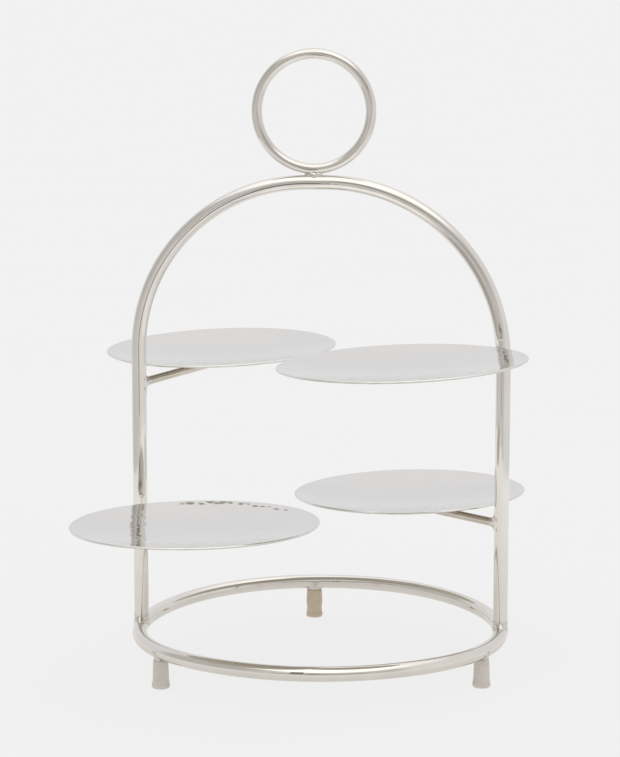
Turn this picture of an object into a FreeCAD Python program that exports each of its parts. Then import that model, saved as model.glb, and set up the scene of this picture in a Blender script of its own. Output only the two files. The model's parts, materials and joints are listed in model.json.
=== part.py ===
import FreeCAD, Part

import math
import os

import Sketcher

# A tiered cake stand: a bent arch tube welded to a round base ring, a carry ring on the arch's
# apex, four round dished plates on straight arms, and three capped feet.
#
# Frame: +Z up, origin on the table at the base ring's axis. The arch lies in the XZ plane,
# so its legs stand at -X and +X, and the front of the stand faces -Y. Millimetres, degrees.

doc = FreeCAD.newDocument("TieredCakeStand")

# ---------------------------------------------------------------- driving dimensions

DIMENSIONS = {
    # the tube of the arch and of the base ring
    "tube_diameter": 12.0,
    "tube_wall": 1.0,
    # the base ring, with a vent under each leg so that plating fluid drains
    "ring_radius": 150.5,
    "ring_height": 32.0,
    "vent_diameter": 6.0,
    # the arch: two bends, the left one tighter, with a short flat between them
    "arch_top": 402.3,
    "bend_left": 140.0,
    "bend_right": 145.5,
    "leg_end_height": 33.5,
    # the carry ring, a little off the arch's apex
    "carry_radius": 46.5,
    "carry_rod": 8.5,
    "carry_gap": 0.8,
    "carry_offset": -5.2,
    # the plates, shallow dishes of round sheet, and the arms that end under their middles
    "plate_diameter": 198.8,
    "plate_thickness": 2.0,
    "plate_sag": 7.5,
    "plate_edge_radius": 0.9,
    "arm_diameter": 7.0,
    "arm_length": 120.0,
    "arm_reach": 120.0,
    # the feet
    "stud_diameter": 8.0,
    "cap_top_diameter": 12.4,
    "cap_foot_diameter": 15.0,
    "cap_height": 22.6,
    "cap_floor": 3.0,
    "cap_edge_radius": 1.2,
    # the weld beads
    "leg_bead": 1.4,
    "leg_bead_height": 8.0,
    "arm_bead": 1.7,
    "arm_bead_length": 4.5,
    "foot_bead": 1.6,
    "foot_bead_height": 6.2,
    "plate_bead_diameter": 3.4,
    "plate_bead_length": 11.0,
    "plate_bead_spacing": 18.0,
    "plate_bead_inset": 15.0,
    "carry_bead_width": 15.0,
    "carry_bead_height": 9.0,
    "carry_bead_depth": 9.6,
}

# Each tier: the side of its leg, then the arm's height on that leg, its heading seen from above
# (0 along +X, 90 to the back), how steeply it climbs outwards, and how far the plate rolls
# about it.
TIER_WORDS = ("arm_height", "heading", "climb", "roll")
TIERS = {
    "upper_left": (-1, (234.6, 61.9, 1.7, -1.1)),
    "upper_right": (1, (260.0, 229.4, -1.4, 2.3)),
    "lower_left": (-1, (124.0, -60.3, 1.7, 0.2)),
    "lower_right": (1, (120.8, 131.9, -1.8, -0.5)),
}

# The feet stand at nearly even turns round the base ring.
FOOT_TURNS = {"back": 96.5, "front_left": 216.0, "front_right": 335.0}

for tier, (side, values) in TIERS.items():
    DIMENSIONS.update({tier + "_" + word: value for word, value in zip(TIER_WORDS, values)})
DIMENSIONS.update({foot + "_turn": turn for foot, turn in FOOT_TURNS.items()})

sheet = doc.addObject("Spreadsheet::Sheet", "Dimensions")
for row, (alias, value) in enumerate(DIMENSIONS.items(), start=1):
    sheet.set("A%d" % row, alias)
    sheet.set("B%d" % row, repr(value))
    sheet.setAlias("B%d" % row, alias)
doc.recompute()

SUBPARTS = []


def bind(feature, **sizes):
    """Bind properties to expressions in which {alias} is a cell of the sheet."""
    cells = {alias: "Dimensions." + alias for alias in DIMENSIONS}
    for name, expression in sizes.items():
        feature.setExpression(name.replace("__", "."), expression.format(**cells))


def place(feature, x="0", y="0", z="0", yaw="0", pitch="0", roll="0"):
    """Bind a feature's whole Placement: three coordinates, then three angles in degrees."""
    spot = "vector(%s; %s; %s)" % (x, y, z)
    bind(feature, Placement="placement(%s; rotation(%s; %s; %s))" % (spot, yaw, pitch, roll))


def subpart(feature, label):
    feature.Label = label
    SUBPARTS.append(feature)
    return feature


# ---------------------------------------------------------------- primitives and booleans

def primitive(kind, name, **sizes):
    feature = doc.addObject("Part::" + kind, name)
    bind(feature, **sizes)
    return feature


def cut(name, base, tool):
    feature = doc.addObject("Part::Cut", name)
    feature.Base = base
    feature.Tool = tool
    return feature


def join(name, features):
    feature = doc.addObject("Part::MultiFuse", name)
    feature.Shapes = features
    return feature


# ---------------------------------------------------------------- sketches and bodies

def origin_feature(body, role):
    return next(feature for feature in body.Origin.OriginFeatures if feature.Role == role)


def new_sketch(body, name, plane):
    sketch = body.newObject("Sketcher::SketchObject", name)
    sketch.AttachmentSupport = (origin_feature(body, plane), [""])
    sketch.MapMode = "FlatFace"
    return sketch


def bind_datum(sketch, constraint, expression):
    """Add a dimension to a sketch and bind it to the sheet."""
    index = sketch.addConstraint(constraint)
    bind(sketch, **{"Constraints[%d]" % index: expression})


def sketch_circle(sketch, centre, diameter, offsets):
    """A circle with its diameter and its two centre offsets bound; no offset means on that axis."""
    here = FreeCAD.Vector(*centre, 0)
    size = DIMENSIONS["tube_diameter"] / 2
    circle = sketch.addGeometry(Part.Circle(here, FreeCAD.Vector(0, 0, 1), size), False)
    for axis, line, offset, value in zip("XY", (-2, -1), offsets, centre):
        if offset is None:
            sketch.addConstraint(Sketcher.Constraint("PointOnObject", circle, 3, line))
        else:
            datum = Sketcher.Constraint("Distance" + axis, -1, 1, circle, 3, value)
            bind_datum(sketch, datum, offset)
    bind_datum(sketch, Sketcher.Constraint("Diameter", circle, 2 * size), diameter)
    return circle


def turned(body, kind, name, sketch):
    """A full turn of a sketch about the upright axis of an XZ sketch."""
    feature = body.newObject("PartDesign::" + kind, name)
    feature.Profile = sketch
    feature.ReferenceAxis = (sketch, ["V_Axis"])
    feature.Angle = 360
    sketch.Visibility = False
    return feature


def tube_section(sketch, centre, offsets):
    """The tube's wall: its outside circle and its bore."""
    sketch_circle(sketch, centre, "{tube_diameter}", offsets)
    sketch_circle(sketch, centre, "{tube_diameter} - 2 * {tube_wall}", offsets)


# ---------------------------------------------------------------- shapes that others are coped to

def ring_envelope():
    """The base ring's tube as a full solid."""
    torus = primitive("Torus", "RingEnvelope", Radius1="{ring_radius}", Radius2="{tube_diameter} / 2")
    place(torus, z="{ring_height}")
    return torus


def arch_envelope():
    """The arch's legs, its two bends and the flat between them as full solids, to the table."""
    rods = []
    for word, side, turn in (("left", -1, "180"), ("right", 1, "0")):
        bend = "{bend_%s}" % word
        leg = primitive(
            "Cylinder",
            "ArchLeg" + word.title(),
            Radius="{tube_diameter} / 2",
            Height="{arch_top} - " + bend,
        )
        place(leg, x="%d * {ring_radius}" % side)
        shoulder = primitive(
            "Torus", "ArchBend" + word.title(), Radius1=bend, Radius2="{tube_diameter} / 2"
        )
        shoulder.Angle3 = 90
        middle = "%d * ({ring_radius} - %s)" % (side, bend)
        place(shoulder, x=middle, z="{arch_top} - " + bend, yaw=turn, roll="90")
        rods += [leg, shoulder]
    flat = primitive(
        "Cylinder",
        "ArchFlat",
        Radius="{tube_diameter} / 2",
        Height="2 * {ring_radius} - {bend_left} - {bend_right}",
    )
    place(flat, x="{bend_left} - {ring_radius}", z="{arch_top}", pitch="90")
    return join("ArchEnvelope", rods + [flat])


def arm_root(tier, side):
    """Where the arch's centre line stands at the height of a tier's arm, as an expression."""
    bend = "{bend_left}" if side < 0 else "{bend_right}"
    above = "max(0; {%s_arm_height} - {arch_top} + %s)" % (tier, bend)
    return "%d * ({ring_radius} - %s + sqrt(%s ^ 2 - %s ^ 2))" % (side, bend, bend, above)


def place_rod_on_leg(rod, tier, side):
    """Lay a rod drawn along +Z out from the leg's axis, along its tier's arm."""
    place(
        rod,
        x=arm_root(tier, side),
        z="{%s_arm_height}" % tier,
        yaw="{%s_heading}" % tier,
        pitch="90 - {%s_climb}" % tier,
    )


def arm_envelope(name, tier, side, length):
    """A tier's arm as a full round rod that starts on the leg's axis."""
    arm = primitive("Cylinder", name, Radius="{arm_diameter} / 2", Height=length)
    place_rod_on_leg(arm, tier, side)
    return arm


RING = ring_envelope()
ARCH = arch_envelope()


# ---------------------------------------------------------------- base ring and arch

def build_base_ring():
    body = subpart(doc.addObject("PartDesign::Body", "BaseRing"), "base_ring")
    radius, height = DIMENSIONS["ring_radius"], DIMENSIONS["ring_height"]
    section = new_sketch(body, "RingSection", "XZ_Plane")
    tube_section(section, (radius, height), ("{ring_radius}", "{ring_height}"))
    turned(body, "Revolution", "RingTube", section)
    doc.recompute()

    plain = body.Shape.Volume
    vents = new_sketch(body, "VentHoles", "XY_Plane")
    bind(vents, AttachmentOffset__Base__z="{ring_height}")
    sketch_circle(vents, (radius, 0), "{vent_diameter}", ("{ring_radius}", None))
    sketch_circle(vents, (-radius, 0), "{vent_diameter}", ("-{ring_radius}", None))
    pocket = body.newObject("PartDesign::Pocket", "Vents")
    pocket.Profile = vents
    pocket.Reversed = True
    bind(pocket, Length="{tube_diameter}")
    doc.recompute()
    if not body.Shape.Volume < plain:
        raise RuntimeError("the vents cut nothing from the base ring")


def build_arch():
    """The bent tube: up one leg, over the two bends, down the other, and coped to the ring."""
    body = doc.addObject("PartDesign::Body", "Arch")
    radius, top, end = (DIMENSIONS[w] for w in ("ring_radius", "arch_top", "leg_end_height"))
    bend_left, bend_right = DIMENSIONS["bend_left"], DIMENSIONS["bend_right"]
    upright = FreeCAD.Vector(0, 0, 1)
    corner_left = FreeCAD.Vector(bend_left - radius, top - bend_left, 0)
    corner_right = FreeCAD.Vector(radius - bend_right, top - bend_right, 0)
    foot_left, shoulder_left = FreeCAD.Vector(-radius, end, 0), FreeCAD.Vector(-radius, corner_left.y, 0)
    foot_right, shoulder_right = FreeCAD.Vector(radius, end, 0), FreeCAD.Vector(radius, corner_right.y, 0)
    flat_start, flat_end = FreeCAD.Vector(corner_left.x, top, 0), FreeCAD.Vector(corner_right.x, top, 0)
    bends = [Part.Circle(corner_left, upright, bend_left), Part.Circle(corner_right, upright, bend_right)]

    path = new_sketch(body, "ArchPath", "XZ_Plane")
    left = path.addGeometry(Part.LineSegment(foot_left, shoulder_left), False)
    over_left = path.addGeometry(Part.ArcOfCircle(bends[0], math.pi / 2, math.pi), False)
    flat = path.addGeometry(Part.LineSegment(flat_start, flat_end), False)
    over_right = path.addGeometry(Part.ArcOfCircle(bends[1], 0, math.pi / 2), False)
    right = path.addGeometry(Part.LineSegment(shoulder_right, foot_right), False)
    path.addConstraint(Sketcher.Constraint("Coincident", left, 2, over_left, 2))
    path.addConstraint(Sketcher.Constraint("Coincident", over_left, 1, flat, 1))
    path.addConstraint(Sketcher.Constraint("Coincident", flat, 2, over_right, 2))
    path.addConstraint(Sketcher.Constraint("Coincident", over_right, 1, right, 1))
    path.addConstraint(Sketcher.Constraint("Vertical", left))
    path.addConstraint(Sketcher.Constraint("Vertical", right))
    path.addConstraint(Sketcher.Constraint("Horizontal", flat))
    path.addConstraint(Sketcher.Constraint("Vertical", over_left, 3, over_left, 1))
    path.addConstraint(Sketcher.Constraint("Horizontal", over_left, 3, over_left, 2))
    path.addConstraint(Sketcher.Constraint("Vertical", over_right, 3, over_right, 2))
    path.addConstraint(Sketcher.Constraint("Horizontal", over_right, 3, over_right, 1))
    path.addConstraint(Sketcher.Constraint("Horizontal", left, 1, right, 2))
    bind_datum(path, Sketcher.Constraint("DistanceX", -1, 1, left, 1, -radius), "-{ring_radius}")
    bind_datum(path, Sketcher.Constraint("DistanceX", -1, 1, right, 2, radius), "{ring_radius}")
    bind_datum(path, Sketcher.Constraint("DistanceY", -1, 1, left, 1, end), "{leg_end_height}")
    bind_datum(path, Sketcher.Constraint("DistanceY", -1, 1, flat, 1, top), "{arch_top}")
    bind_datum(path, Sketcher.Constraint("Radius", over_left, bend_left), "{bend_left}")
    bind_datum(path, Sketcher.Constraint("Radius", over_right, bend_right), "{bend_right}")

    wall = new_sketch(body, "ArchWall", "XY_Plane")
    bind(wall, AttachmentOffset__Base__z="{leg_end_height}")
    tube_section(wall, (-radius, 0), ("-{ring_radius}", None))
    doc.recompute()
    pipe = body.newObject("PartDesign::AdditivePipe", "ArchTube")
    pipe.Profile = wall
    pipe.Spine = (path, ["Edge%d" % number for number in range(1, 6)])
    subpart(cut("ArchCoped", body, RING), "arch_tube")


def build_leg_weld(name, side):
    """A bead round the leg where its coped end sits on the base ring."""
    bead = primitive(
        "Cone",
        "LegBead" + name,
        Radius1="{tube_diameter} / 2 + {leg_bead}",
        Radius2="{tube_diameter} / 2 + {leg_bead} / 8",
        Height="{leg_bead_height}",
    )
    place(bead, x="%d * {ring_radius}" % side, z="{leg_end_height}")
    tubes = join("LegBeadTubes" + name, [RING, ARCH])
    subpart(cut("LegWeld" + name, bead, tubes), "weld_leg_" + name.lower())


# ---------------------------------------------------------------- carry ring

def build_carry_ring():
    ring = primitive("Torus", "CarryRing", Radius1="{carry_radius}", Radius2="{carry_rod} / 2")
    apex = "{arch_top} + {tube_diameter} / 2"
    centre = apex + " + {carry_gap} + {carry_rod} / 2 + {carry_radius}"
    place(ring, x="{carry_offset}", z=centre, roll="90")
    subpart(ring, "carry_ring")

    bead = primitive(
        "Ellipsoid",
        "CarryBead",
        Radius1="{carry_bead_height} / 2",
        Radius2="{carry_bead_width} / 2",
        Radius3="{carry_bead_depth} / 2",
    )
    place(bead, x="{carry_offset}", z=apex + " + {carry_gap} / 2")
    around = join("CarryBeadRods", [ARCH, ring])
    subpart(cut("CarryWeld", bead, around), "weld_carry_ring")


# ---------------------------------------------------------------- arms and plates

def place_on_leg(feature, tier, side):
    """Set a feature drawn along +X from the leg's axis at its tier's height, heading and lean."""
    place(
        feature,
        x=arm_root(tier, side),
        z="{%s_arm_height}" % tier,
        yaw="{%s_heading}" % tier,
        pitch="-{%s_climb}" % tier,
        roll="{%s_roll}" % tier,
    )


def build_arm(tier, side, name):
    rod = arm_envelope("ArmRod" + name, tier, side, "{arm_length}")
    subpart(cut("Arm" + name, rod, ARCH), "support_arm_" + tier)

    bead = primitive(
        "Cone",
        "ArmBead" + name,
        Radius1="{arm_diameter} / 2 + {arm_bead}",
        Radius2="{arm_diameter} / 2 + {arm_bead} / 6",
        Height="{tube_diameter} / 2 + {arm_bead_length}",
    )
    place_rod_on_leg(bead, tier, side)
    rods = join("ArmBeadRods" + name, [rod, ARCH])
    subpart(cut("ArmWeld" + name, bead, rods), "weld_arm_" + tier)


BOWL_RADIUS = "(({plate_diameter} / 2) ^ 2 + {plate_sag} ^ 2) / (2 * {plate_sag})"


def build_plate(tier, side, name):
    """A shallow dish of even thickness, turned about its own axis, its middle on the arm."""
    body = subpart(doc.addObject("PartDesign::Body", "Plate" + name), "plate_" + tier)
    half, sag = DIMENSIONS["plate_diameter"] / 2, DIMENSIONS["plate_sag"]
    reach, low = DIMENSIONS["arm_reach"], DIMENSIONS["arm_diameter"] / 2
    thickness = DIMENSIONS["plate_thickness"]
    bowl = (half ** 2 + sag ** 2) / (2 * sag)
    below, spread = -math.pi / 2, math.asin(half / bowl)
    upright = FreeCAD.Vector(0, 0, 1)
    centre = FreeCAD.Vector(reach, low + thickness + bowl, 0)
    section = new_sketch(body, "PlateSection" + name, "XZ_Plane")
    faces = [
        section.addGeometry(
            Part.ArcOfCircle(Part.Circle(centre, upright, radius), below, below + spread), False
        )
        for radius in (bowl, bowl + thickness)
    ]
    upper, lower = faces
    ends = {face: (section.Geometry[face].StartPoint, section.Geometry[face].EndPoint) for face in faces}
    middle = section.addGeometry(Part.LineSegment(ends[lower][0], ends[upper][0]), False)
    rim = section.addGeometry(Part.LineSegment(ends[upper][1], ends[lower][1]), False)
    axis = section.addGeometry(Part.LineSegment(ends[lower][0], centre), True)
    section.addConstraint(Sketcher.Constraint("Coincident", lower, 1, middle, 1))
    section.addConstraint(Sketcher.Constraint("Coincident", middle, 2, upper, 1))
    section.addConstraint(Sketcher.Constraint("Coincident", upper, 2, rim, 1))
    section.addConstraint(Sketcher.Constraint("Coincident", rim, 2, lower, 2))
    section.addConstraint(Sketcher.Constraint("Coincident", upper, 3, lower, 3))
    section.addConstraint(Sketcher.Constraint("Coincident", axis, 1, middle, 1))
    section.addConstraint(Sketcher.Constraint("Coincident", axis, 2, upper, 3))
    section.addConstraint(Sketcher.Constraint("Vertical", middle))
    section.addConstraint(Sketcher.Constraint("Vertical", axis))
    section.addConstraint(Sketcher.Constraint("PointOnObject", upper, 3, rim))
    bind_datum(section, Sketcher.Constraint("DistanceX", -1, 1, middle, 1, reach), "{arm_reach}")
    bind_datum(section, Sketcher.Constraint("DistanceY", -1, 1, middle, 1, low), "{arm_diameter} / 2")
    bind_datum(
        section, Sketcher.Constraint("DistanceY", middle, 1, middle, 2, thickness), "{plate_thickness}"
    )
    bind_datum(
        section, Sketcher.Constraint("DistanceX", middle, 2, upper, 2, half), "{plate_diameter} / 2"
    )
    bind_datum(section, Sketcher.Constraint("Radius", upper, bowl), BOWL_RADIUS)
    dish = body.newObject("PartDesign::Revolution", "PlateDish" + name)
    dish.Profile = section
    dish.ReferenceAxis = (section, ["Axis0"])
    dish.Angle = 360
    doc.recompute()
    rims = [
        "Edge%d" % number
        for number, edge in enumerate(dish.Shape.Edges, start=1)
        if not edge.Degenerated and isinstance(edge.Curve, Part.Circle) and edge.Curve.Radius < bowl / 2
    ]
    eased = body.newObject("PartDesign::Fillet", "PlateRim" + name)
    eased.Base = (dish, rims)
    bind(eased, Radius="{plate_edge_radius}")
    place_on_leg(body, tier, side)


def plate_bead_blank():
    """Four short beads, two on each side of an arm that runs along +X under a plate."""
    beads = []
    for end, word in ((-1, "Near"), (1, "Far")):
        for hand, side in ((-1, "Right"), (1, "Left")):
            bead = primitive(
                "Cylinder",
                "PlateBead" + word + side,
                Radius="{plate_bead_diameter} / 2",
                Height="{plate_bead_length}",
            )
            start = "{arm_length} - {plate_bead_inset} - {plate_bead_length} / 2"
            place(
                bead,
                x=start + " + %d * {plate_bead_spacing} / 2" % end,
                y="%d * ({arm_diameter} / 2 - {plate_bead_diameter} / 4)" % hand,
                z="{arm_diameter} / 2 - {plate_bead_diameter} / 4",
                pitch="90",
            )
            beads.append(bead)
    return join("PlateBeads", beads)


def plate_beads_on_arm():
    """The beads with the arm's round taken out of them, in the same place."""
    arm = primitive("Cylinder", "BeadArm", Radius="{arm_diameter} / 2", Height="{arm_length}")
    place(arm, pitch="90")
    return cut("BeadsOnArm", plate_bead_blank(), arm)


def plate_underside():
    """The ball whose lowest part is the underside of a plate, over an arm along +X."""
    ball = primitive("Sphere", "PlateUnderside", Radius=BOWL_RADIUS + " + {plate_thickness}")
    rise = "{arm_diameter} / 2 + {plate_thickness} + " + BOWL_RADIUS
    place(ball, x="{arm_reach}", z=rise)
    return ball


def build_plate_weld(tier, side, name, beads, underside):
    weld = cut("PlateWeld" + name, beads, underside)
    place_on_leg(weld, tier, side)
    subpart(weld, "weld_plate_" + tier)


# ---------------------------------------------------------------- feet

def place_at_foot(feature, foot, z="0"):
    angle = "{%s_turn} * 1 deg" % foot
    place(feature, x="{ring_radius} * cos(%s)" % angle, y="{ring_radius} * sin(%s)" % angle, z=z)


def build_stud(foot, name):
    """The metal stud, coped to the underside of the base ring, and the bead round its top."""
    rod = primitive(
        "Cylinder",
        "StudRod" + name,
        Radius="{stud_diameter} / 2",
        Height="{ring_height} - {cap_floor}",
    )
    place_at_foot(rod, foot, z="{cap_floor}")
    subpart(cut("Stud" + name, rod, RING), "foot_stud_" + foot)

    bead = primitive(
        "Cone",
        "FootBead" + name,
        Radius1="{stud_diameter} / 2 + {foot_bead} / 4",
        Radius2="{stud_diameter} / 2 + {foot_bead}",
        Height="{foot_bead_height}",
    )
    place_at_foot(bead, foot, z="{cap_height} + {foot_bead} / 2")
    around = join("FootBeadRods" + name, [rod, RING])
    subpart(cut("FootWeld" + name, bead, around), "weld_foot_" + foot)


def build_cap(foot, name):
    """The soft cap over a stud: a tapered cup whose mouth faces up."""
    body = subpart(doc.addObject("PartDesign::Body", "Cap" + name), "foot_cap_" + foot)
    mouth, sole = DIMENSIONS["cap_top_diameter"] / 2, DIMENSIONS["cap_foot_diameter"] / 2
    bore, top, floor = (
        DIMENSIONS["stud_diameter"] / 2,
        DIMENSIONS["cap_height"],
        DIMENSIONS["cap_floor"],
    )
    outline = [(0, 0), (sole, 0), (mouth, top), (bore, top), (bore, floor), (0, floor)]
    section = new_sketch(body, "CapSection" + name, "XZ_Plane")
    corners = [FreeCAD.Vector(x, y, 0) for x, y in outline]
    for start, end in zip(corners, corners[1:] + corners[:1]):
        section.addGeometry(Part.LineSegment(start, end), False)
    count = len(corners)
    for side in range(count):
        section.addConstraint(Sketcher.Constraint("Coincident", side, 2, (side + 1) % count, 1))
    section.addConstraint(Sketcher.Constraint("Coincident", 0, 1, -1, 1))
    for side in (0, 2, 4):
        section.addConstraint(Sketcher.Constraint("Horizontal", side))
    for side in (3, 5):
        section.addConstraint(Sketcher.Constraint("Vertical", side))
    bind_datum(section, Sketcher.Constraint("DistanceX", -1, 1, 0, 2, sole), "{cap_foot_diameter} / 2")
    bind_datum(section, Sketcher.Constraint("DistanceX", -1, 1, 1, 2, mouth), "{cap_top_diameter} / 2")
    bind_datum(section, Sketcher.Constraint("DistanceX", -1, 1, 2, 2, bore), "{stud_diameter} / 2")
    bind_datum(section, Sketcher.Constraint("DistanceY", -1, 1, 1, 2, top), "{cap_height}")
    bind_datum(section, Sketcher.Constraint("DistanceY", -1, 1, 4, 1, floor), "{cap_floor}")
    cup = turned(body, "Revolution", "CapCup" + name, section)
    doc.recompute()
    outside = [
        "Edge%d" % number
        for number, edge in enumerate(cup.Shape.Edges, start=1)
        if isinstance(edge.Curve, Part.Circle) and edge.Curve.Radius > bore + 1
    ]
    eased = body.newObject("PartDesign::Fillet", "CapEdges" + name)
    eased.Base = (cup, outside)
    bind(eased, Radius="{cap_edge_radius}")
    place_at_foot(body, foot)


# ---------------------------------------------------------------- the whole stand

build_base_ring()
build_arch()
build_leg_weld("Left", -1)
build_leg_weld("Right", 1)
build_carry_ring()
BEADS_ON_ARM = plate_beads_on_arm()
UNDERSIDE = plate_underside()
for tier, (side, values) in TIERS.items():
    tier_name = tier.title().replace("_", "")
    build_arm(tier, side, tier_name)
    build_plate(tier, side, tier_name)
    build_plate_weld(tier, side, tier_name, BEADS_ON_ARM, UNDERSIDE)
for foot in FOOT_TURNS:
    foot_name = foot.title().replace("_", "")
    build_stud(foot, foot_name)
    build_cap(foot, foot_name)
doc.recompute()

for feature in doc.Objects:
    if "Invalid" in feature.State or "Error" in feature.State:
        raise RuntimeError("%s failed: %s" % (feature.Name, feature.State))
for part in SUBPARTS:
    if part.Shape.isNull() or not part.Shape.isValid() or not part.Shape.Solids:
        raise RuntimeError("%s has no valid shape" % part.Label)

os.makedirs("parts", exist_ok=True)
for part in SUBPARTS:
    part.Shape.exportStep("parts/%s.step" % part.Label)
    box = part.Shape.BoundBox
    print("%-26s %9.1f mm3, %d solid(s), z %.1f to %.1f" % (
        part.Label, part.Shape.Volume, len(part.Shape.Solids), box.ZMin, box.ZMax
    ))
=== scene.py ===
import json
import math

import bmesh
import bpy
from mathutils import Matrix, Vector, noise


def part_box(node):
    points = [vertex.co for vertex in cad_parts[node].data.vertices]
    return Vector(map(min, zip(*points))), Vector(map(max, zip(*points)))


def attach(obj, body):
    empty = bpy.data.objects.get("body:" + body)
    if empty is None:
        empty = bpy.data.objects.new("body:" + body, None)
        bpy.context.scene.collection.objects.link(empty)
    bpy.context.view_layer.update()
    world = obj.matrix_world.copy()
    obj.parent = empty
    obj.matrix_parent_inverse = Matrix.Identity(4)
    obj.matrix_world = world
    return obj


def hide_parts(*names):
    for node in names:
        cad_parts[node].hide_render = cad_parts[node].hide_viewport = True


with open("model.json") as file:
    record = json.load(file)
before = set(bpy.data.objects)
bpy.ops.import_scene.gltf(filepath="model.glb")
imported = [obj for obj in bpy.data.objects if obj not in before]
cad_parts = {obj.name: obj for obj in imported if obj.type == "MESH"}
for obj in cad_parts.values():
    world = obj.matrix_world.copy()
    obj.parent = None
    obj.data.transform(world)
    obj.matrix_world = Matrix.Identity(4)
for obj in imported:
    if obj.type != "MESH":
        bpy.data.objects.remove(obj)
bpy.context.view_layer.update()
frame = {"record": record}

# A tiered cake stand of polished nickel: bent tubes, hammered plates, weld beads and soft caps.
# Metres, +Z up, the front of the stand faces -Y.

X, Y, Z = Vector((1, 0, 0)), Vector((0, 1, 0)), Vector((0, 0, 1))

TIERS = ("upper_left", "upper_right", "lower_left", "lower_right")
FEET = ("back", "front_left", "front_right")

ARM_RADIUS = 0.0035
ARM_LENGTH = 0.120
PLATE_RADIUS = 0.0994
PLATE_THICKNESS = 0.002
PLATE_SAG = 0.0075
PLATE_LIP = 0.0016
STUD_RADIUS = 0.004

# The radius of the arch's two bends.
BEND_LEFT = 0.140
BEND_RIGHT = 0.1455

# How far the base ring's sides, where the legs stand, hang below its front and back.
RING_DIP = 0.0038

# The hammer blows on a dish: rings this far apart, blows this far apart along them, and how deep.
BLOW_RINGS = 0.0145
BLOW_SPACING = 0.0165
BLOW_DEPTH = 0.00017
# Blows are looked up by squares of this size, which is wider than any blow's radius.
BLOW_SQUARE = 0.014

# Where a dish has deep pits along its rim: the stretch, in degrees from its arm's line.
PITTED_RIMS = {"lower_left": (100, 166)}
PIT_COUNT = 15
PIT_DEPTH = 0.0003

# The runs of bead under a plate: how long they are, how far it is from one to the next along the
# arm, and how far the middle between them is from the arm's tip.
BEAD_LENGTH = 0.011
BEAD_SPACING = 0.018
BEAD_INSET = 0.015

mounts = {mount["name"]: mount for mount in frame["record"]["mounts"]}


# ---------------------------------------------------------------- what the frame measures

ring_low, ring_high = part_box("base_ring")
TUBE_RADIUS = (ring_high.z - ring_low.z) / 2
RING_HEIGHT = (ring_high.z + ring_low.z) / 2
RING_RADIUS = (ring_high.x - ring_low.x) / 2 - TUBE_RADIUS
_, arch_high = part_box("arch_tube")
ARCH_TOP = arch_high.z - TUBE_RADIUS
carry_low, carry_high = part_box("carry_ring")
CARRY_ROD = (carry_high.y - carry_low.y) / 2
CARRY_CENTRE = (carry_low + carry_high) / 2
CARRY_RADIUS = (carry_high.x - carry_low.x) / 2 - CARRY_ROD


def arch_root_x(side, height):
    """Where the arch's centre line stands at a height: on a leg, or on the bend above it."""
    bend = BEND_LEFT if side < 0 else BEND_RIGHT
    above = max(0.0, height - (ARCH_TOP - bend))
    return side * (RING_RADIUS - bend + math.sqrt(bend ** 2 - above ** 2))


def tier_frame(tier):
    """The tier's frame and its plate's middle along x.

    x runs along the arm away from the leg, z is square to the plate, the origin is on the leg.
    """
    mount = mounts["serving_face_" + tier]
    normal = Vector(mount["axis"]).normalized()
    under = Vector(mount["pos_m"]) - normal * (ARM_RADIUS + PLATE_THICKNESS)
    side = -1 if tier.endswith("left") else 1
    height = under.z
    for _ in range(4):
        root_x = arch_root_x(side, height)
        height = under.z + ((under.x - root_x) * normal.x + under.y * normal.y) / normal.z
    root = Vector((root_x, 0, height))
    along = (under - root).normalized()
    across = normal.cross(along)
    matrix = Matrix((along, across, normal)).transposed().to_4x4()
    matrix.translation = root
    return matrix, (under - root).length


# ---------------------------------------------------------------- materials

class Nodes:
    """A short way to write a material's nodes."""

    def __init__(self, material):
        material.use_nodes = True
        self.tree = material.node_tree
        self.tree.nodes.clear()
        self.shader = self.add("ShaderNodeBsdfPrincipled")
        output = self.add("ShaderNodeOutputMaterial")
        self.link(self.shader.outputs["BSDF"], output.inputs["Surface"])
        self.place = self.add("ShaderNodeTexCoord").outputs["Object"]

    def add(self, kind, **values):
        node = self.tree.nodes.new(kind)
        for name, value in values.items():
            setattr(node, name, value)
        return node

    def link(self, source, target):
        self.tree.links.new(source, target)

    def noise(self, scale, detail, roughness=0.5):
        node = self.add("ShaderNodeTexNoise")
        node.inputs["Scale"].default_value = scale
        node.inputs["Detail"].default_value = detail
        node.inputs["Roughness"].default_value = roughness
        self.link(self.place, node.inputs["Vector"])
        return node.outputs["Fac"]

    def ramp(self, value, stops):
        """A colour that follows a value through stops of (value, colour)."""
        node = self.add("ShaderNodeValToRGB")
        elements = node.color_ramp.elements
        for element, (spot, colour) in zip(elements, (stops[0], stops[-1])):
            element.position, element.color = spot, (*colour, 1)
        for spot, colour in stops[1:-1]:
            elements.new(spot).color = (*colour, 1)
        self.link(value, node.inputs["Fac"])
        return node.outputs["Color"]

    def span(self, value, low, high):
        """A noise, or another value, stretched so that 0.3 to 0.7 becomes low to high."""
        node = self.add("ShaderNodeMapRange")
        node.inputs["From Min"].default_value = 0.3
        node.inputs["From Max"].default_value = 0.7
        node.inputs["To Min"].default_value = low
        node.inputs["To Max"].default_value = high
        self.link(value, node.inputs["Value"])
        return node.outputs["Result"]

    def bump(self, height, distance):
        node = self.add("ShaderNodeBump")
        node.inputs["Distance"].default_value = distance
        node.inputs["Strength"].default_value = 1.0
        self.link(height, node.inputs["Height"])
        return node.outputs["Normal"]


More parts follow.
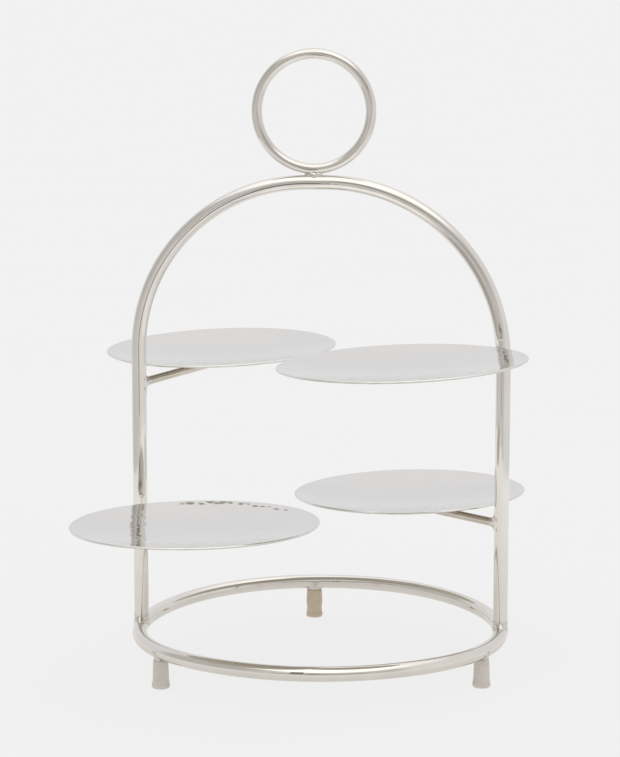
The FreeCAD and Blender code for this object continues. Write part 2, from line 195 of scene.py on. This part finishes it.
def nickel(name, light, warm, rough, waviness, wave_scale, haze_scale, pit_paint=None):
    """Polished nickel plate: a warm bright metal with a faint buffing haze and a soft waviness.

    light and warm are the two colours the haze drifts between, rough is the middle roughness and
    waviness the height of the waves in metres; the scales say how fine waves and haze are. The last
    argument is the dark colour painted into the pits that the mesh marks.
    """
    material = bpy.data.materials.new(name)
    nodes = Nodes(material)
    shader = nodes.shader
    shader.inputs["Metallic"].default_value = 1.0
    haze = nodes.noise(haze_scale, 4.0, 0.6)
    colour = nodes.ramp(haze, [(0.3, warm), (0.7, light)])
    # The pits that the mesh marks are painted dark.
    if pit_paint:
        pits = nodes.add("ShaderNodeAttribute", attribute_name="pit_darkening")
        pit_darkened = nodes.add("ShaderNodeMix", data_type="RGBA")
        nodes.link(nodes.span(pits.outputs["Fac"], 0.0, 0.8), pit_darkened.inputs[0])
        nodes.link(colour, pit_darkened.inputs[6])
        pit_darkened.inputs[7].default_value = (*pit_paint, 1)
        colour = pit_darkened.outputs[2]
    nodes.link(colour, shader.inputs["Base Color"])
    buffing = nodes.noise(haze_scale * 2.3, 3.0)
    nodes.link(nodes.span(buffing, rough * 0.6, rough * 1.5), shader.inputs["Roughness"])
    wave = nodes.bump(nodes.noise(wave_scale, 2.0), waviness)
    nodes.link(wave, shader.inputs["Normal"])
    return material


def rubber(name, tint):
    """Cloudy clear plastic of a push-on cap, a little uneven in colour and gloss."""
    material = bpy.data.materials.new(name)
    nodes = Nodes(material)
    shader = nodes.shader
    shades = [tuple(level * part for part in tint) for level in (0.93, 1.0, 1.05)]
    cloud = nodes.noise(90, 4.0, 0.55)
    nodes.link(
        nodes.ramp(cloud, [(0.3, shades[0]), (0.5, shades[1]), (0.72, shades[2])]),
        shader.inputs["Base Color"],
    )
    nodes.link(nodes.span(nodes.noise(260, 3.0), 0.2, 0.34), shader.inputs["Roughness"])
    shader.inputs["IOR"].default_value = 1.5
    shader.inputs["Subsurface Weight"].default_value = 0.1
    shader.inputs["Subsurface Scale"].default_value = 0.004
    nodes.link(nodes.bump(nodes.noise(420, 3.0), 0.00008), shader.inputs["Normal"])
    return material


TUBE = nickel(
    "nickel_tube", (0.82, 0.80, 0.775), (0.76, 0.735, 0.70),
    rough=0.05, waviness=0.00006, wave_scale=55, haze_scale=24,
)
ROD = nickel(
    "nickel_rod", (0.78, 0.76, 0.73), (0.71, 0.69, 0.655),
    rough=0.07, waviness=0.00005, wave_scale=90, haze_scale=40,
)
# The arms: a darker, warmer nickel, partly the arms' duller plating and partly painted shade for the
# shaded floor their undersides mirror.
DULL_SHADED_ARM = nickel(
    "nickel_arm_dull_shaded", (0.72, 0.675, 0.61), (0.62, 0.57, 0.50),
    rough=0.13, waviness=0.00006, wave_scale=160, haze_scale=50,
)
# The plates' undersides: a rougher, darker copy of the nickel; the darker colour is painted shade
# for the side that faces down.
SHADED_UNDERSIDE = nickel(
    "nickel_underside_shaded", (0.62, 0.58, 0.53), (0.48, 0.44, 0.39),
    rough=0.22, waviness=0.00005, wave_scale=200, haze_scale=60,
)
# The plates, with the pits along a rim painted dark.
PLATE = nickel(
    "nickel_plate", (0.80, 0.795, 0.79), (0.77, 0.765, 0.76),
    rough=0.045, waviness=0.00003, wave_scale=120, haze_scale=16, pit_paint=(0.10, 0.09, 0.08),
)
WELD = nickel(
    "nickel_weld", (0.80, 0.785, 0.76), (0.62, 0.59, 0.55),
    rough=0.12, waviness=0.0002, wave_scale=420, haze_scale=160,
)
CAP = rubber("cap_plastic", (0.615, 0.565, 0.51))
CAP_WARM = rubber("cap_plastic_aged", (0.565, 0.47, 0.345))


# ---------------------------------------------------------------- mesh tools

def put(name, data):
    """An object made of its data, in the scene."""
    thing = bpy.data.objects.new(name, data)
    bpy.context.scene.collection.objects.link(thing)
    return thing


def make(name, vertices, faces, material, nodes):
    """One piece from points and faces, smooth, that stands for the CAD nodes it is given."""
    mesh = bpy.data.meshes.new(name)
    mesh.from_pydata([tuple(vertex) for vertex in vertices], [], faces)
    mesh.update()
    work = bmesh.new()
    work.from_mesh(mesh)
    bmesh.ops.recalc_face_normals(work, faces=work.faces)
    work.to_mesh(mesh)
    work.free()
    mesh.polygons.foreach_set("use_smooth", [True] * len(mesh.polygons))
    mesh.materials.append(material)
    piece = put(name, mesh)
    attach(piece, "root")
    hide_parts(*nodes)
    return piece


def quads(rows, around, closed=False):
    """The faces between rows of around points each; closed joins the last row to the first."""
    faces = []
    for row in range(rows if closed else rows - 1):
        following = (row + 1) % rows
        for step in range(around):
            beside = (step + 1) % around
            faces.append((
                row * around + step,
                row * around + beside,
                following * around + beside,
                following * around + step,
            ))
    return faces


def wheel(rings, around):
    """The faces of a disc: a middle point, then rings of around points each."""
    faces = [(0, 1 + step, 1 + (step + 1) % around) for step in range(around)]
    for ring in range(rings - 1):
        start = 1 + ring * around
        for step in range(around):
            beside = (step + 1) % around
            faces.append((
                start + step,
                start + beside,
                start + around + beside,
                start + around + step,
            ))
    return faces


def disc(radii, around, height):
    """A flat disc's points and faces, in rings of the given radii."""
    vertices = [(0, 0, height)]
    for radius in radii:
        for step in range(around):
            angle = 2 * math.pi * step / around
            vertices.append((radius * math.cos(angle), radius * math.sin(angle), height))
    return vertices, wheel(len(radii), around)


def sweep(stations, around, closed):
    """A round skin over stations of (centre, one direction, the direction square to it, radius)."""
    vertices = []
    for centre, side, up, radius in stations:
        for step in range(around):
            angle = 2 * math.pi * step / around
            vertices.append(centre + (side * math.cos(angle) + up * math.sin(angle)) * radius)
    count = len(stations)
    faces = quads(count, around, closed)
    if not closed:
        faces.append(tuple(reversed(range(around))))
        faces.append(tuple(range((count - 1) * around, count * around)))
    return vertices, faces


def lumpy(point, size, scale, seed):
    """A smooth random length at a point, for the small unevenness of hand-finished metal."""
    shift = Vector((seed * 3.1, seed * 1.7, seed * 2.3))
    return size * noise.noise(point * scale + shift)


def tube_along(name, path, radius, around, closed, material, nodes, seed, wave=0.00005):
    """A round tube along a path of (centre, outward direction, side direction)."""
    stations = []
    for centre, out, side in path:
        swell = lumpy(centre, wave, 45, seed)
        drift = out * lumpy(centre, wave * 1.6, 22, seed + 1)
        drift += side * lumpy(centre, wave * 1.6, 22, seed + 2)
        stations.append((centre + drift, out, side, radius + swell))
    vertices, faces = sweep(stations, around, closed)
    make(name, vertices, faces, material, nodes)


# ---------------------------------------------------------------- rings and arch

def circle_path(centre, radius, first, second, count):
    """Stations round a circle in the plane of two directions."""
    third = first.cross(second)
    path = []
    for step in range(count):
        angle = 2 * math.pi * step / count
        out = first * math.cos(angle) + second * math.sin(angle)
        path.append((centre + out * radius, out, third))
    return path


def ring_dip(x):
    """How far the base ring's sides, pressed down by the legs, hang below its front and back."""
    return RING_DIP * abs(x / RING_RADIUS) ** 3


ring_path = [
    (centre - Z * ring_dip(centre.x), out, side)
    for centre, out, side in circle_path(Vector((0, 0, RING_HEIGHT)), RING_RADIUS, X, Y, 360)
]
tube_along(
    "ring_tube", ring_path,
    TUBE_RADIUS, 40, True, TUBE, ["base_ring"], 1,
)
tube_along(
    "carry_ring_rod", circle_path(CARRY_CENTRE, CARRY_RADIUS, X, Z, 220),
    CARRY_ROD, 36, True, ROD, ["carry_ring"], 2, 0.00004,
)


def arch_path():
    """Up the left leg, over the two bends and the flat between them, down the right leg."""
    path = []
    foot = RING_HEIGHT - RING_DIP
    left_top, right_top = ARCH_TOP - BEND_LEFT, ARCH_TOP - BEND_RIGHT
    for step in range(60):
        path.append((Vector((-RING_RADIUS, 0, foot + (left_top - foot) * step / 60)), -X, Y))
    for step in range(91):
        angle = math.pi - math.radians(step)
        out = X * math.cos(angle) + Z * math.sin(angle)
        path.append((Vector((BEND_LEFT - RING_RADIUS, 0, left_top)) + out * BEND_LEFT, out, Y))
    for step in range(91):
        angle = math.pi / 2 - math.radians(step)
        out = X * math.cos(angle) + Z * math.sin(angle)
        path.append((Vector((RING_RADIUS - BEND_RIGHT, 0, right_top)) + out * BEND_RIGHT, out, Y))
    for step in range(1, 61):
        path.append((Vector((RING_RADIUS, 0, right_top + (foot - right_top) * step / 60)), X, Y))
    return path


tube_along(
    "arch_bent_tube", arch_path(),
    TUBE_RADIUS, 40, False, TUBE, ["arch_tube"], 3,
)


# ---------------------------------------------------------------- plates

def hammer_marks(seed):
    """The centres and widths of hammer blows, laid round the dish in rough rings."""
    marks = []
    ring = 0.008
    while ring < PLATE_RADIUS:
        count = max(1, round(2 * math.pi * ring / BLOW_SPACING))
        for step in range(count):
            shift = 0.5 * noise.noise(Vector((ring * 900, step * 7.7, seed)))
            angle = 2 * math.pi * (step + shift) / count
            radius = ring + 0.005 * noise.noise(Vector((step * 3.3, ring * 500, seed + 9)))
            width = 0.0108 + 0.0026 * noise.noise(Vector((step * 1.9, ring * 800, seed + 5)))
            marks.append((radius * math.cos(angle), radius * math.sin(angle), width))
        ring += BLOW_RINGS
    return marks


def hammered(marks, x, y):
    """How far the sheet is beaten down at a point: the deepest of the nearest blows."""
    low = 0.0
    for mark_x, mark_y, width in marks:
        gap = ((x - mark_x) ** 2 + (y - mark_y) ** 2) / width ** 2
        if gap < 1:
            low = max(low, BLOW_DEPTH * (1 - gap) ** 1.5)
    return low


def rim_pits(tier, seed):
    """Deep hammer pits along one stretch of a dish's rim, as (x, y, size), which the plate's
    material paints dark.
    """
    pits = []
    if tier in PITTED_RIMS:
        first, last = PITTED_RIMS[tier]
        for number in range(PIT_COUNT):
            share = (number + 0.5 + 0.8 * noise.noise(Vector((number * 2.3, seed, 1.0)))) / PIT_COUNT
            angle = math.radians(first + (last - first) * share)
            radius = PLATE_RADIUS * (0.905 + 0.05 * noise.noise(Vector((number * 1.7, seed, 5.0))))
            size = 0.0020 + 0.0016 * noise.noise(Vector((number * 3.1, seed, 9.0)))
            pits.append((radius * math.cos(angle), radius * math.sin(angle), max(0.0013, size)))
    return pits


def plate(tier, seed):
    """A shallow hammered dish with a rolled edge, drawn in the tier's frame."""
    matrix, reach = tier_frame(tier)
    bowl = (PLATE_RADIUS ** 2 + PLATE_SAG ** 2) / (2 * PLATE_SAG)
    base = ARM_RADIUS + PLATE_THICKNESS
    edge = PLATE_THICKNESS / 2
    around, rings, lip_steps = 288, 62, 6
    marks = hammer_marks(seed)
    pits = rim_pits(tier, seed)

    def square(x, y):
        return int(x // BLOW_SQUARE), int(y // BLOW_SQUARE)

    buckets = {}
    for mark in marks:
        buckets.setdefault(square(mark[0], mark[1]), []).append(mark)

    def near(x, y):
        column, row = square(x, y)
        found = []
        for across in (-1, 0, 1):
            for along in (-1, 0, 1):
                found += buckets.get((column + across, row + along), [])
        return found

    def sag(radius):
        return bowl - math.sqrt(bowl ** 2 - radius ** 2)

    def pitted(x, y):
        depth = 0.0
        for across, along, size in pits:
            from_middle = math.hypot(across, along)
            outward = ((x - across) * across + (y - along) * along) / from_middle
            round_rim = ((y - along) * across - (x - across) * along) / from_middle
            off = (outward / (size * 0.9)) ** 2 + (round_rim / (size * 1.5)) ** 2
            if off < 6:
                depth = max(depth, math.exp(-off))
        return depth

    def skin(radius, angle, side):
        x, y = radius * math.cos(angle), radius * math.sin(angle)
        fade = min(1.0, (PLATE_RADIUS - radius) / 0.003)
        dent = hammered(near(x, y), x, y) * fade + PIT_DEPTH * pitted(x, y)
        wave = 0.00022 * math.sin(3 * angle + seed) * (radius / PLATE_RADIUS) ** 2
        lift = side * PLATE_THICKNESS
        return Vector((reach + x, y, base + sag(radius) + wave - dent - PLATE_THICKNESS + lift))

    inner = PLATE_RADIUS - PLATE_LIP
    radii = [inner * ring / rings for ring in range(1, rings + 1)]
    vertices = [skin(0, 0, 1)]
    for radius in radii:
        vertices += [skin(radius, 2 * math.pi * step / around, 1) for step in range(around)]
    for turn in range(1, lip_steps):
        angle_up = math.pi / 2 - math.pi * turn / lip_steps
        for step in range(around):
            angle = 2 * math.pi * step / around
            middle = (skin(inner, angle, 1) + skin(inner, angle, 0)) / 2
            out = Vector((math.cos(angle), math.sin(angle), 0))
            roll = out * PLATE_LIP * math.cos(angle_up) + Z * edge * math.sin(angle_up)
            vertices.append(middle + roll)
    for radius in reversed(radii):
        vertices += [skin(radius, 2 * math.pi * step / around, 0) for step in range(around)]
    vertices.append(skin(0, 0, 0))
    loops = (len(vertices) - 2) // around
    faces = wheel(loops, around)
    last, start = len(vertices) - 1, 1 + (loops - 1) * around
    faces += [(last, start + (step + 1) % around, start + step) for step in range(around)]
    # How deep in a rim pit each point lies: the plate's material paints the pits dark by it.
    pit_darkening = [pitted(vertex[0] - reach, vertex[1]) for vertex in vertices]
    vertices = [matrix @ vertex for vertex in vertices]
    dish = make("hammered_dish_" + tier, vertices, faces, PLATE, ["plate_" + tier])
    # The faces pointing down get the darker nickel, its darkness painted shade.
    dish.data.materials.append(SHADED_UNDERSIDE)
    pit_paint = dish.data.attributes.new("pit_darkening", "FLOAT", "POINT")
    pit_paint.data.foreach_set("value", pit_darkening)
    normal = matrix.to_3x3() @ Z
    for polygon in dish.data.polygons:
        polygon.material_index = int(polygon.normal.dot(normal) < -0.5)


for number, tier in enumerate(TIERS):
    plate(tier, number + 1)


# ---------------------------------------------------------------- arms and their welds

def fillet(origin, along, side, up, host, base, end_radius, end_depth, seed, ripple=0.0003):
    """A weld that sweeps from a round tube of radius host up onto a rod that leaves it square.

    The rod leaves origin, on the tube's axis, towards along; side is square to rod and tube.
    base(angle) is how far from the rod's axis the weld reaches on the tube.
    """
    rows, around = 14, 56
    vertices = []
    for row in range(rows + 1):
        share = row / rows
        for step in range(around):
            angle = 2 * math.pi * step / around
            foot = base(angle)
            across = min(host, abs(foot * math.cos(angle)))
            start = math.sqrt(host ** 2 - across ** 2) - 0.0003
            depth = start + (end_depth - start) * share
            radius = end_radius + (foot - end_radius) * (1 - share) ** 2.2
            spot = side * math.cos(angle) + up * math.sin(angle)
            here = origin + along * depth + spot * radius
            lump = lumpy(here, ripple, 360, seed) * math.sin(math.pi * min(1.0, share + 0.15)) ** 0.5
            vertices.append(here + (spot + along * 0.6) * lump)
    return vertices, quads(rows + 1, around)


def arm(tier, seed):
    """One support arm, rounded off at its tip, and the weld where it leaves the leg."""
    matrix, _ = tier_frame(tier)
    direction, across, up = (matrix.to_3x3() @ axis for axis in (X, Y, Z))
    root = matrix.translation
    path = []
    for step in range(74):
        path.append((root + direction * (ARM_LENGTH - 0.001) * step / 73, across, up))
    stations = [
        (centre, out, side, ARM_RADIUS + lumpy(centre, 0.00004, 60, seed))
        for centre, out, side in path
    ]
    tip = path[-1][0]
    for back, shrink in ((0.0004, 0.97), (0.0008, 0.88), (0.001, 0.72)):
        stations.append((tip + direction * back, across, up, ARM_RADIUS * shrink))
    vertices, faces = sweep(stations, 32, False)
    # The arm takes the darker nickel: duller plating with painted shade in its colour.
    make("round_arm_" + tier, vertices, faces, DULL_SHADED_ARM, ["support_arm_" + tier])

    def base(angle):
        return ARM_RADIUS + 0.0018 + 0.0056 * abs(math.sin(angle)) ** 1.5

    vertices, faces = fillet(
        root, direction, across, up, TUBE_RADIUS, base,
        ARM_RADIUS + 0.00015, TUBE_RADIUS + 0.0075, seed + 4,
    )
    make("arm_bead_" + tier, vertices, faces, WELD, ["weld_arm_" + tier])


for number, tier in enumerate(TIERS):
    arm(tier, number + 11)


# ---------------------------------------------------------------- the other welds

def carry_bead(centre, sizes, seed):
    """The lump of weld between carry ring and arch: a squashed ball with the bead's ripples."""
    rows, around = 20, 36
    vertices = []
    for row in range(rows + 1):
        polar = math.pi * row / rows
        for step in range(around):
            angle = 2 * math.pi * step / around
            unit = Vector((
                math.sin(polar) * math.cos(angle),
                math.sin(polar) * math.sin(angle),
                math.cos(polar),
            ))
            place = Vector((unit.x * sizes[0], unit.y * sizes[1], unit.z * sizes[2]))
            vertices.append(centre + place + unit * lumpy(centre + place, 0.0016, 300, seed))
    make("carry_bead", vertices, quads(rows + 1, around), WELD, ["weld_carry_ring"])


def leg_weld(side, word):
    """The weld that fills the corner between a leg's coped end and the base ring."""
    def base(angle):
        return TUBE_RADIUS + 0.0003 + 0.0026 * abs(math.sin(angle)) ** 1.5

    vertices, faces = fillet(
        Vector((side * RING_RADIUS, 0, RING_HEIGHT - RING_DIP)), Z, X, Y,
        TUBE_RADIUS, base, TUBE_RADIUS + 0.00012, TUBE_RADIUS + 0.0042, side + 25, 0.0005,
    )
    make("leg_bead_" + word, vertices, faces, WELD, ["weld_leg_" + word])


leg_weld(-1, "left")
leg_weld(1, "right")

weld_low, weld_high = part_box("weld_carry_ring")
carry_bead((weld_low + weld_high) / 2, (0.0072, 0.0042, 0.0034), 31)


def plate_beads(tier, seed):
    """Short runs of bead on both sides of the arm, under the plate."""
    matrix, _ = tier_frame(tier)
    turn = matrix.to_3x3()
    vertices, faces = [], []
    for end in (-1, 1):
        for hand in (-1, 1):
            inward = ARM_LENGTH - BEAD_INSET + end * BEAD_SPACING / 2
            middle = Vector((inward, hand * 0.00285, 0.0028))
            first = len(vertices)
            stations = []
            for step in range(15):
                share = step / 14
                swell = 0.0016 * math.sqrt(max(0.0, 1 - (2 * share - 1) ** 2)) + 0.0001
                spot = middle + X * BEAD_LENGTH * (share - 0.5)
                swell += lumpy(spot, 0.0003, 480, seed + end * hand) * (swell > 0.0005)
                stations.append((spot, Y, Z, swell))
            run, skins = sweep(stations, 16, False)
            vertices += [matrix.translation + turn @ point for point in run]
            faces += [tuple(first + corner for corner in skin) for skin in skins]
    make("under_beads_" + tier, vertices, faces, WELD, ["weld_plate_" + tier])


for number, tier in enumerate(TIERS):
    plate_beads(tier, number + 41)


# ---------------------------------------------------------------- feet

def foot(word, seed):
    """One foot: its soft cap, the stud inside it and the weld that holds the stud to the ring."""
    cap_low, cap_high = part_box("foot_cap_" + word)
    middle = (cap_low + cap_high) / 2
    axis = Vector((middle.x, middle.y, 0))
    rest = RING_HEIGHT - ring_dip(axis.x)
    aged = word == "back"
    sole = (cap_high.x - cap_low.x) / 2
    top = cap_high.z + (0.0028 if aged else 0.001)
    mouth = 0.0068 if aged else 0.0062
    stud_foot = 0.0031
    outline = [
        # The sole, out to its rounded edge.
        (0.0, 0.0), (sole * 0.55, 0.0), (sole - 0.0016, 0.0), (sole - 0.0007, 0.0003),
        (sole - 0.00012, 0.0012), (sole, 0.0024),
        # Up the tapered side to the mouth.
        (sole - 0.00022, 0.0036), (sole - 0.00055, 0.0052), (sole - 0.00088, 0.0085),
        (mouth + 0.0003, 0.014), (mouth + 0.0001, 0.019), (mouth - 0.0001, top - 0.0012),
        (mouth - 0.0003, top - 0.0004), (mouth - 0.0009, top),
        # Down the inside along the stud, and across its floor.
        (STUD_RADIUS + 0.0002, top), (STUD_RADIUS + 0.00012, top - 0.0008),
        (STUD_RADIUS + 0.0001, 0.0042), (STUD_RADIUS * 0.9, stud_foot), (0.0, 0.003),
    ]
    around = 48
    vertices = []
    for radius, height in outline:
        for step in range(around):
            angle = 2 * math.pi * step / around
            out = Vector((math.cos(angle), math.sin(angle), 0))
            wobble = 0.0
            if radius > STUD_RADIUS + 0.001:
                wobble = lumpy(axis + out * radius + Z * height, 0.00003, 130, seed)
                wobble *= min(1.0, height / 0.002)
            vertices.append(axis + out * (radius + wobble) + Z * height)
    skin = CAP_WARM if aged else CAP
    faces = quads(len(outline), around)
    make("soft_cap_" + word, vertices, faces, skin, ["foot_cap_" + word])

    stations = []
    for step in range(22):
        height = stud_foot + (rest - 0.0045 - stud_foot) * step / 21
        centre = axis + Z * height
        stations.append((centre, X, Y, STUD_RADIUS + lumpy(centre, 0.00004, 90, seed)))
    vertices, faces = sweep(stations, 32, False)
    make("stud_" + word, vertices, faces, ROD, ["foot_stud_" + word])

    outward = axis.normalized()

    def base(angle):
        return mouth + 0.0004 + 0.0014 * abs(math.sin(angle)) ** 1.5

    vertices, faces = fillet(
        axis + Z * rest, -Z, outward, outward.cross(Z), TUBE_RADIUS, base,
        mouth - 0.0008, rest - top - 0.0001, seed + 3, 0.0007,
    )
    make("foot_bead_" + word, vertices, faces, WELD, ["weld_foot_" + word])


for number, word in enumerate(FEET):
    foot(word, number + 61)


# ---------------------------------------------------------------- floor, light and camera

# How bright the paper of the floor and the backdrop is.
PAPER = 0.877
# The colour of the mirrored room before anything is painted on it.
ROOM = (0.75, 0.74, 0.72)


def build_floor():
    """A plain pale floor, wide enough to reach the horizon from any side."""
    mesh = bpy.data.meshes.new("floor")
    vertices, faces = disc([0.3 * 1.75 ** ring for ring in range(11)], 96, 0)
    mesh.from_pydata(vertices, [], faces)
    material = bpy.data.materials.new("pale_floor")
    nodes = Nodes(material)
    tone = nodes.noise(3.0, 3.0)
    paper = nodes.ramp(tone, [(0.3, (0.098, 0.098, 0.098)), (0.7, (0.102, 0.102, 0.102))])
    nodes.link(paper, nodes.shader.inputs["Base Color"])
    nodes.shader.inputs["Roughness"].default_value = 0.95
    nodes.shader.inputs["Specular IOR Level"].default_value = 0.0
    nodes.shader.inputs["Emission Color"].default_value = (1, 1, 1, 1)
    nodes.shader.inputs["Emission Strength"].default_value = PAPER * 0.9 + 0.005
    mesh.materials.append(material)
    floor = put("floor", mesh)
    floor.visible_glossy = False


class Studio:
    """The studio round the stand, painted on the world by direction, each colour over the last."""

    def __init__(self):
        world = bpy.data.worlds.new("studio")
        bpy.context.scene.world = world
        world.use_nodes = True
        self.tree = world.node_tree
        self.tree.nodes.clear()
        self.way = self.add("ShaderNodeTexCoord").outputs["Generated"]
        self.light = None

    def add(self, kind, **values):
        node = self.tree.nodes.new(kind)
        for name, value in values.items():
            setattr(node, name, value)
        return node

    def feed(self, node, socket, value):
        if hasattr(value, "node"):
            self.tree.links.new(value, node.inputs[socket])
        else:
            node.inputs[socket].default_value = value

    def towards(self, azimuth, height):
        """The unit direction at degrees right of the camera and degrees up."""
        turn, rise = math.radians(azimuth + CAMERA_TURN), math.radians(height)
        level = math.cos(rise)
        return Vector((math.sin(turn) * level, -math.cos(turn) * level, math.sin(rise)))

    def along(self, direction):
        node = self.add("ShaderNodeVectorMath", operation="DOT_PRODUCT")
        self.tree.links.new(self.way, node.inputs[0])
        node.inputs[1].default_value = direction
        return node.outputs["Value"]

    def maths(self, operation, first, second=0.0):
        node = self.add("ShaderNodeMath", operation=operation)
        self.feed(node, 0, first)
        self.feed(node, 1, second)
        return node.outputs["Value"]

    def step(self, value, low, high):
        """0 below low, 1 above high, smooth between."""
        node = self.add("ShaderNodeMapRange", interpolation_type="SMOOTHSTEP")
        self.feed(node, "Value", value)
        node.inputs["From Min"].default_value = low
        node.inputs["From Max"].default_value = high
        return node.outputs["Result"]

    def patch(self, azimuth, height, core, fade):
        """A round patch: full within core degrees of a direction, gone at fade degrees."""
        near = self.along(self.towards(azimuth, height))
        return self.step(near, math.cos(math.radians(fade)), math.cos(math.radians(core)))

    def wing(self, start, end, half_width, fade):
        """A band along the great circle from one direction to another."""
        first, last = self.towards(*start), self.towards(*end)
        normal = first.cross(last).normalized()
        off = self.maths("ABSOLUTE", self.along(normal))
        edges = math.sin(math.radians(half_width)), math.sin(math.radians(fade))
        inside = self.maths("SUBTRACT", 1.0, self.step(off, *edges))
        after = self.step(self.along(normal.cross(first)), -0.02, 0.06)
        before = self.step(self.along(last.cross(normal)), -0.02, 0.10)
        return self.maths("MULTIPLY", inside, self.maths("MULTIPLY", after, before))

    def shade(self, mask, colour):
        """Paint a colour over what is there, where the mask is."""
        node = self.add("ShaderNodeMix", data_type="RGBA")
        self.tree.links.new(mask, node.inputs["Factor"])
        if self.light is None:
            node.inputs["A"].default_value = (*ROOM, 1)
        else:
            self.tree.links.new(self.light, node.inputs["A"])
        node.inputs["B"].default_value = (*colour, 1)
        self.light = node.outputs["Result"]

    def finish(self):
        """The lit room for the metal's reflections; plain pale paper for all the rest."""
        room = self.add("ShaderNodeBackground")
        self.tree.links.new(self.light, room.inputs["Color"])
        plain = self.add("ShaderNodeBackground")
        plain.inputs["Color"].default_value = (PAPER, PAPER, PAPER, 1)
        path = self.add("ShaderNodeLightPath")
        mix = self.add("ShaderNodeMixShader")
        self.tree.links.new(path.outputs["Is Glossy Ray"], mix.inputs["Fac"])
        self.tree.links.new(plain.outputs["Background"], mix.inputs[1])
        self.tree.links.new(room.outputs["Background"], mix.inputs[2])
        output = self.add("ShaderNodeOutputWorld")
        self.tree.links.new(mix.outputs["Shader"], output.inputs["Surface"])


CAMERA_PLACE = Vector((0.1658, -2.0433, 0.5752))
CAMERA_PITCH, CAMERA_YAW = 80.73, 4.87
CAMERA_LENS = 119.9
# How far round from the stand's front the camera stands, in degrees.
CAMERA_TURN = math.degrees(math.atan2(CAMERA_PLACE.x, -CAMERA_PLACE.y))


def build_studio():
    """The mirrored room: walls with dim and bright patches, ceiling, lamp, dark parts in front."""
    studio = Studio()
    up = studio.along(Vector((0, 0, 1)))
    back = studio.along(studio.towards(180, 0))
    right = studio.along(studio.towards(90, 0))
    studio.shade(studio.step(right, 0.0, 0.5), (0.83, 0.81, 0.785))
    studio.shade(studio.step(right, -0.1, -0.6), (0.67, 0.65, 0.625))
    studio.shade(studio.patch(-80, 35, 22, 44), (0.55, 0.53, 0.50))
    studio.shade(studio.patch(25, 22, 18, 34), (0.62, 0.60, 0.57))
    studio.shade(studio.step(back, 0.25, 0.6), (0.79, 0.79, 0.80))
    studio.shade(studio.patch(180, 45, 18, 34), (0.86, 0.84, 0.825))
    studio.shade(studio.step(up, 0.66, 0.84), (1.10, 1.085, 1.06))
    studio.shade(studio.patch(12, 67, 26, 42), (1.36, 1.34, 1.29))
    studio.shade(studio.patch(0, 6, 5, 20), (0.58, 0.56, 0.53))
    studio.shade(studio.wing((-4, -22), (-4, 8), 2.0, 4.0), (0.46, 0.44, 0.41))
    studio.shade(studio.patch(-4, 21, 2.5, 7), (0.34, 0.325, 0.31))
    studio.shade(studio.wing((-30, 8), (30, 10), 1.3, 4.2), (0.27, 0.255, 0.235))
    studio.finish()


def only_in_reflections(card):
    """A stage card that neither camera nor matt surfaces see, only the metal."""
    card.visible_camera = False
    card.visible_diffuse = False
    card.visible_shadow = False
    card.visible_transmission = False


def build_table_glow():
    """The lit table top as the metal mirrors it: warm white, a little dimmer under the stand."""
    mesh = bpy.data.meshes.new("table_glow")
    vertices, faces = disc((0.05, 0.15, 0.3, 0.6, 0.95), 64, -0.001)
    mesh.from_pydata(vertices, [], faces)
    material = bpy.data.materials.new("table_glow")
    nodes = Nodes(material)
    reach = nodes.add("ShaderNodeVectorMath", operation="LENGTH")
    nodes.link(nodes.place, reach.inputs[0])
    glow = nodes.ramp(
        reach.outputs["Value"],
        [(0.05, (0.66, 0.635, 0.60)), (0.25, (0.82, 0.80, 0.765)), (0.8, (0.95, 0.935, 0.905))],
    )
    nodes.link(glow, nodes.shader.inputs["Emission Color"])
    nodes.shader.inputs["Base Color"].default_value = (0, 0, 0, 1)
    nodes.shader.inputs["Specular IOR Level"].default_value = 0.0
    nodes.shader.inputs["Emission Strength"].default_value = 1.0
    mesh.materials.append(material)
    only_in_reflections(put("table_glow", mesh))


def build_gap():
    """A dim upright card before the stand: the dark line that the legs mirror."""
    mesh = bpy.data.meshes.new("gap")
    left, right, bottom, top, front = -0.102, -0.038, 0.112, 0.34, -0.53
    corners = [(left, bottom), (right, bottom), (right, top), (left, top)]
    mesh.from_pydata([(across, front, height) for across, height in corners], [], [(0, 1, 2, 3)])
    material = bpy.data.materials.new("dark_gap")
    nodes = Nodes(material)
    nodes.shader.inputs["Base Color"].default_value = (0.02, 0.02, 0.02, 1)
    nodes.shader.inputs["Roughness"].default_value = 1.0
    nodes.shader.inputs["Specular IOR Level"].default_value = 0.0
    nodes.shader.inputs["Emission Color"].default_value = (0.2, 0.19, 0.175, 1)
    nodes.shader.inputs["Emission Strength"].default_value = 1.0
    mesh.materials.append(material)
    only_in_reflections(put("gap", mesh))


def build_camera():
    """A long lens, before the stand and a little to its right, that looks slightly down."""
    camera = put("camera", bpy.data.cameras.new("camera"))
    camera.location = CAMERA_PLACE
    camera.rotation_euler = (math.radians(CAMERA_PITCH), 0, math.radians(CAMERA_YAW))
    camera.data.lens = CAMERA_LENS
    camera.data.sensor_width = 36
    bpy.context.scene.camera = camera


def build_softbox():
    """One broad soft light overhead, for the faint shadow under the stand."""
    light = bpy.data.lights.new("softbox", "AREA")
    light.shape = "RECTANGLE"
    light.size, light.size_y = 2.4, 1.8
    light.energy = 2
    softbox = put("softbox", light)
    softbox.location = (0.3, -0.5, 2.6)
    softbox.rotation_euler = (math.radians(-11), math.radians(7), 0)
    softbox.visible_glossy = False


build_floor()
build_studio()
build_gap()
build_table_glow()
build_softbox()
build_camera()
bpy.context.scene.view_settings.view_transform = "Standard"
